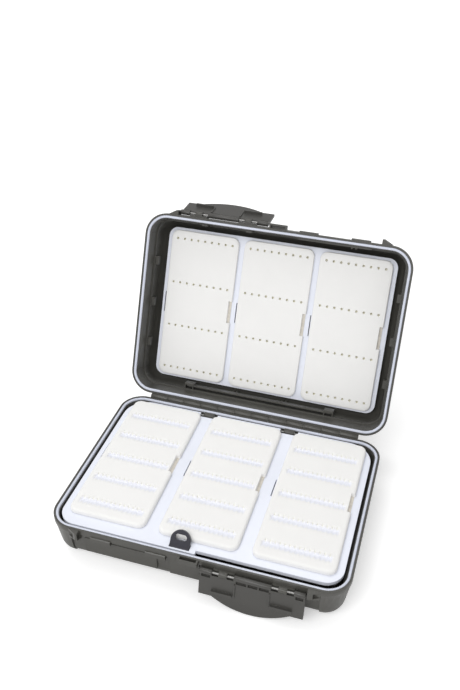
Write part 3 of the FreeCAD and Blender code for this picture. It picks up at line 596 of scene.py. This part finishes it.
class FLYBOX_OT_hole_pads(Operator):
    """Build the three drilled foam pads in the lid"""

    bl_idname = "flybox.hole_pads"
    bl_label = "Drilled pads"

    def execute(self, context):
        sizes = context.scene.fly_box_foam
        mat = foam_finish("Lid foam", context.scene.fly_box_finishes)
        place = lid_place()
        low, high = own_box("hole_pad_middle", place)
        mid = (low + high) / 2.0
        half_x = (high.x - low.x) / 2.0
        half_y = (high.y - low.y) / 2.0
        notch_x = sizes.notch_depth - half_x
        notch_y = [s * sizes.notch_length / 2.0 for s in (-1, 1)]
        xs = line_places(half_x, sizes.hole_edge, sizes.corner, HOLE_GRID, [notch_x])
        ys = line_places(half_y, sizes.hole_edge, sizes.corner, HOLE_GRID, notch_y)
        middle = pad("hole_foam_middle", low, high, sizes.hole_edge, xs, ys, flat_shape, (-1, 0.0))
        first_x = mid.x - (sizes.holes - 1) / 2.0 * sizes.hole_pitch
        first_y = mid.y - (sizes.hole_rows - 1) / 2.0 * sizes.hole_row_pitch
        bits = drill_bits(sizes, first_x, first_y, high.z, high.z - low.z)
        bpy.ops.object.select_all(action="DESELECT")
        middle.select_set(True)
        context.view_layer.objects.active = middle
        bore = middle.modifiers.new("Holes", "BOOLEAN")
        bore.operation = "DIFFERENCE"
        bore.solver = "EXACT"
        bore.object = bits
        bpy.ops.object.modifier_apply(modifier=bore.name)
        bpy.data.objects.remove(bits)
        bpy.ops.object.shade_smooth_by_angle(angle=DRILLED_CREASE)
        mark_holes(middle.data, sizes, first_x, first_y, high.z)
        for name in OUTER:
            there = own_box("hole_pad_" + name, place)[0]
            copy_piece(middle, "hole_foam_" + name, Vector((there.x - low.x, 0.0, 0.0)))
        for name in SIDES:
            piece = bpy.data.objects["hole_foam_" + name]
            piece.data.transform(place)
            seat(piece, "hole_pad_" + name, "lid", mat)
        return {"FINISHED"}


# ---- moulded parts and trim -----------------------------------------------------------------


class FLYBOX_OT_case_finish(Operator):
    """Give the case halves and latches their moulded plastic"""

    bl_idname = "flybox.case_finish"
    bl_label = "Case and latches"

    def execute(self, context):
        tones = context.scene.fly_box_finishes
        shell = finish("Moulded plastic", tones.case, tone=0.93, rough=(0.26, 0.38), grain=2200.0, cloud=18.0,
                       bump=0.16)
        plate = finish("Latch plastic", tones.latch, tone=0.95, rough=(0.3, 0.4), grain=2600.0, cloud=25.0,
                       bump=0.14)
        dress(["base_shell", "lid_shell"], shell)
        dress(["base_latch", "lid_latch"], plate)
        soften(["base_shell", "lid_shell", "base_latch", "lid_latch"])
        return {"FINISHED"}


class FLYBOX_OT_trim_finish(Operator):
    """Give the page, tray, seals, backing, ring and pins their finishes"""

    bl_idname = "flybox.trim_finish"
    bl_label = "Page, seals, ring and pins"

    def execute(self, context):
        tones = context.scene.fly_box_finishes
        white = finish("White tray", tones.tray, tone=0.985, rough=(0.2, 0.3), grain=900.0, cloud=12.0,
                       bump=0.05)
        soft = finish("Seal rubber", tones.seal, tone=0.97, rough=(0.38, 0.5), grain=1800.0, cloud=60.0,
                      bump=0.08)
        film = finish("Backing film", tones.backing, tone=0.9, rough=(0.5, 0.7), grain=1500.0, cloud=300.0,
                      bump=0.3)
        black = finish("Ring plastic", tones.ring, tone=0.9, rough=(0.28, 0.4), grain=2400.0, cloud=90.0,
                       bump=0.12)
        wire = finish("Pin steel", tones.steel, tone=0.94, rough=(0.3, 0.45), grain=900.0, cloud=200.0,
                      bump=0.1, stretch=(0.05, 1.0, 1.0), Metallic=1.0)
        dress(["page", "lid_tray"], white)
        dress(["base_seal", "lid_seal"], soft)
        dress(["slit_backing_" + s for s in SIDES] + ["hole_backing_" + s for s in SIDES], film)
        dress(["pull_ring"], black)
        dress(["hinge_pin", "base_latch_pin", "lid_latch_pin", "page_pins"], wire)
        return {"FINISHED"}


# ---- stage ----------------------------------------------------------------------------------

WHITE = (1.0, 1.0, 1.0, 1.0)
FLOOR_SIZE = 14.0
FLOOR_BELOW = 0.0004            # the floor lies this far under the box
GLOW_FROM = 0.22                # the near glow lasts to this distance from the middle of the floor
GLOW_TO = 1.3                   # and has turned into the far one at this distance
KEY_PLACE = (-0.35, 0.45, 1.45)
KEY_AIM = (0.0, 0.02, 0.05)
FILL_PLACE = (-0.25, -1.15, 1.25)
FILL_AIM = (0.0, 0.05, 0.08)
LAMP_SIZE = (1.2, 0.8)
SENSOR_WIDTH = 36.0             # millimetres, as the lens
NEAREST = 0.01
FARTHEST = 50.0


class FLYBOX_OT_stage(Operator):
    """Set the floor, lamps, surroundings and camera"""

    bl_idname = "flybox.stage"
    bl_label = "Stage"

    def execute(self, context):
        scene = context.scene
        sizes = scene.fly_box_stage
        bpy.ops.object.select_all(action="DESELECT")
        bpy.ops.mesh.primitive_plane_add(size=FLOOR_SIZE, location=(0.0, 0.0, -FLOOR_BELOW))
        floor = context.active_object
        floor.name = "floor"
        floor.data.materials.append(self.floor_material(sizes))
        self.lamp("key_lamp", KEY_PLACE, KEY_AIM, sizes.key)
        self.lamp("fill_lamp", FILL_PLACE, FILL_AIM, sizes.fill)
        self.surroundings(scene, sizes.ambient)
        self.camera(scene, sizes)
        scene.view_settings.view_transform = "Standard"
        return {"FINISHED"}

    def surroundings(self, scene, strength):
        """Pale light all round, and plain white where the camera looks past the floor"""
        world = scene.world or bpy.data.worlds.new("World")
        scene.world = world
        world.use_nodes = True
        tree = world.node_tree
        tree.nodes.clear()
        out = add(tree, "ShaderNodeOutputWorld", 600, 0)
        around = add(tree, "ShaderNodeBackground", 200, 100)
        around.inputs["Color"].default_value = WHITE
        around.inputs["Strength"].default_value = strength
        seen = add(tree, "ShaderNodeBackground", 200, -100)
        seen.inputs["Color"].default_value = WHITE
        ray = add(tree, "ShaderNodeLightPath", 0, 300)
        mix = add(tree, "ShaderNodeMixShader", 400, 0)
        tree.links.new(ray.outputs["Is Camera Ray"], mix.inputs["Fac"])
        tree.links.new(around.outputs["Background"], mix.inputs[1])
        tree.links.new(seen.outputs["Background"], mix.inputs[2])
        tree.links.new(mix.outputs["Shader"], out.inputs["Surface"])

    def camera(self, scene, sizes):
        """Places the camera at its eye, turned by azimuth, elevation and roll"""
        data = bpy.data.cameras.new("camera")
        data.lens = sizes.lens
        data.sensor_width = SENSOR_WIDTH
        data.clip_start = NEAREST
        data.clip_end = FARTHEST
        camera = bpy.data.objects.new("camera", data)
        bpy.context.collection.objects.link(camera)
        level = Matrix.Rotation(math.pi / 2.0 - sizes.elevation, 4, "X")
        facing = Matrix.Rotation(sizes.azimuth, 4, "Z") @ level @ Matrix.Rotation(sizes.roll, 4, "Z")
        camera.matrix_world = Matrix.Translation(Vector(sizes.eye)) @ facing
        scene.camera = camera

    def lamp(self, name, place, aim, power):
        """Adds a soft lamp that points at aim"""
        data = bpy.data.lights.new(name, "AREA")
        data.shape = "RECTANGLE"
        data.size, data.size_y = LAMP_SIZE
        data.energy = power
        lamp = bpy.data.objects.new(name, data)
        bpy.context.collection.objects.link(lamp)
        lamp.location = place
        lamp.rotation_mode = "QUATERNION"
        lamp.rotation_quaternion = (Vector(aim) - Vector(place)).to_track_quat("-Z", "Y")

    def floor_material(self, sizes):
        """A plain floor for the light that it sends back, and a glowing one for the camera"""
        mat = bpy.data.materials.new("Floor")
        mat.use_nodes = True
        tree = mat.node_tree
        tree.nodes.clear()
        out = add(tree, "ShaderNodeOutputMaterial", 800, 0)
        plain = add(tree, "ShaderNodeBsdfDiffuse", 200, 100)
        plain.inputs["Color"].default_value = (*sizes.floor, 1.0)
        seen = add(tree, "ShaderNodeBsdfDiffuse", 200, -50)
        seen.inputs["Color"].default_value = (*sizes.floor_seen, 1.0)
        glow = add(tree, "ShaderNodeEmission", 200, -200)
        coord = add(tree, "ShaderNodeTexCoord", -600, -200)
        away = add(tree, "ShaderNodeVectorMath", -400, -200, operation="LENGTH")
        spread = add(tree, "ShaderNodeMapRange", -200, -200)
        spread.inputs["From Min"].default_value = GLOW_FROM
        spread.inputs["From Max"].default_value = GLOW_TO
        spread.inputs["To Min"].default_value = sizes.glow_near
        spread.inputs["To Max"].default_value = sizes.glow
        tree.links.new(coord.outputs["Object"], away.inputs[0])
        tree.links.new(away.outputs["Value"], spread.inputs["Value"])
        tree.links.new(spread.outputs["Result"], glow.inputs["Strength"])
        ray = add(tree, "ShaderNodeLightPath", -200, 300)
        both = add(tree, "ShaderNodeAddShader", 400, 0)
        mix = add(tree, "ShaderNodeMixShader", 600, 0)
        tree.links.new(seen.outputs["BSDF"], both.inputs[0])
        tree.links.new(glow.outputs["Emission"], both.inputs[1])
        tree.links.new(ray.outputs["Is Camera Ray"], mix.inputs["Fac"])
        tree.links.new(plain.outputs["BSDF"], mix.inputs[1])
        tree.links.new(both.outputs["Shader"], mix.inputs[2])
        tree.links.new(mix.outputs["Shader"], out.inputs["Surface"])
        return mat


class FLYBOX_PT_panel(Panel):
    """Steps that finish the fly box"""

    bl_idname = "FLYBOX_PT_panel"
    bl_label = "Fly Box"
    bl_space_type = "VIEW_3D"
    bl_region_type = "UI"
    bl_category = "Fly Box"

    def draw(self, context):
        for step in STEPS:
            self.layout.operator(step.bl_idname)


STEPS = (FLYBOX_OT_case_finish, FLYBOX_OT_trim_finish, FLYBOX_OT_slit_pads, FLYBOX_OT_hole_pads,
         FLYBOX_OT_stage)
CLASSES = (FoamSizes, Finishes, StageSizes) + STEPS + (FLYBOX_PT_panel,)


def register():
    for cls in CLASSES:
        bpy.utils.register_class(cls)
    bpy.types.Scene.fly_box_foam = PointerProperty(type=FoamSizes)
    bpy.types.Scene.fly_box_finishes = PointerProperty(type=Finishes)
    bpy.types.Scene.fly_box_stage = PointerProperty(type=StageSizes)


def unregister():
    del bpy.types.Scene.fly_box_stage
    del bpy.types.Scene.fly_box_finishes
    del bpy.types.Scene.fly_box_foam
    for cls in reversed(CLASSES):
        bpy.utils.unregister_class(cls)


def main():
    register()
    bpy.ops.flybox.case_finish()
    bpy.ops.flybox.trim_finish()
    bpy.ops.flybox.slit_pads()
    bpy.ops.flybox.hole_pads()
    bpy.ops.flybox.stage()


if __name__ == "__main__":
    main()
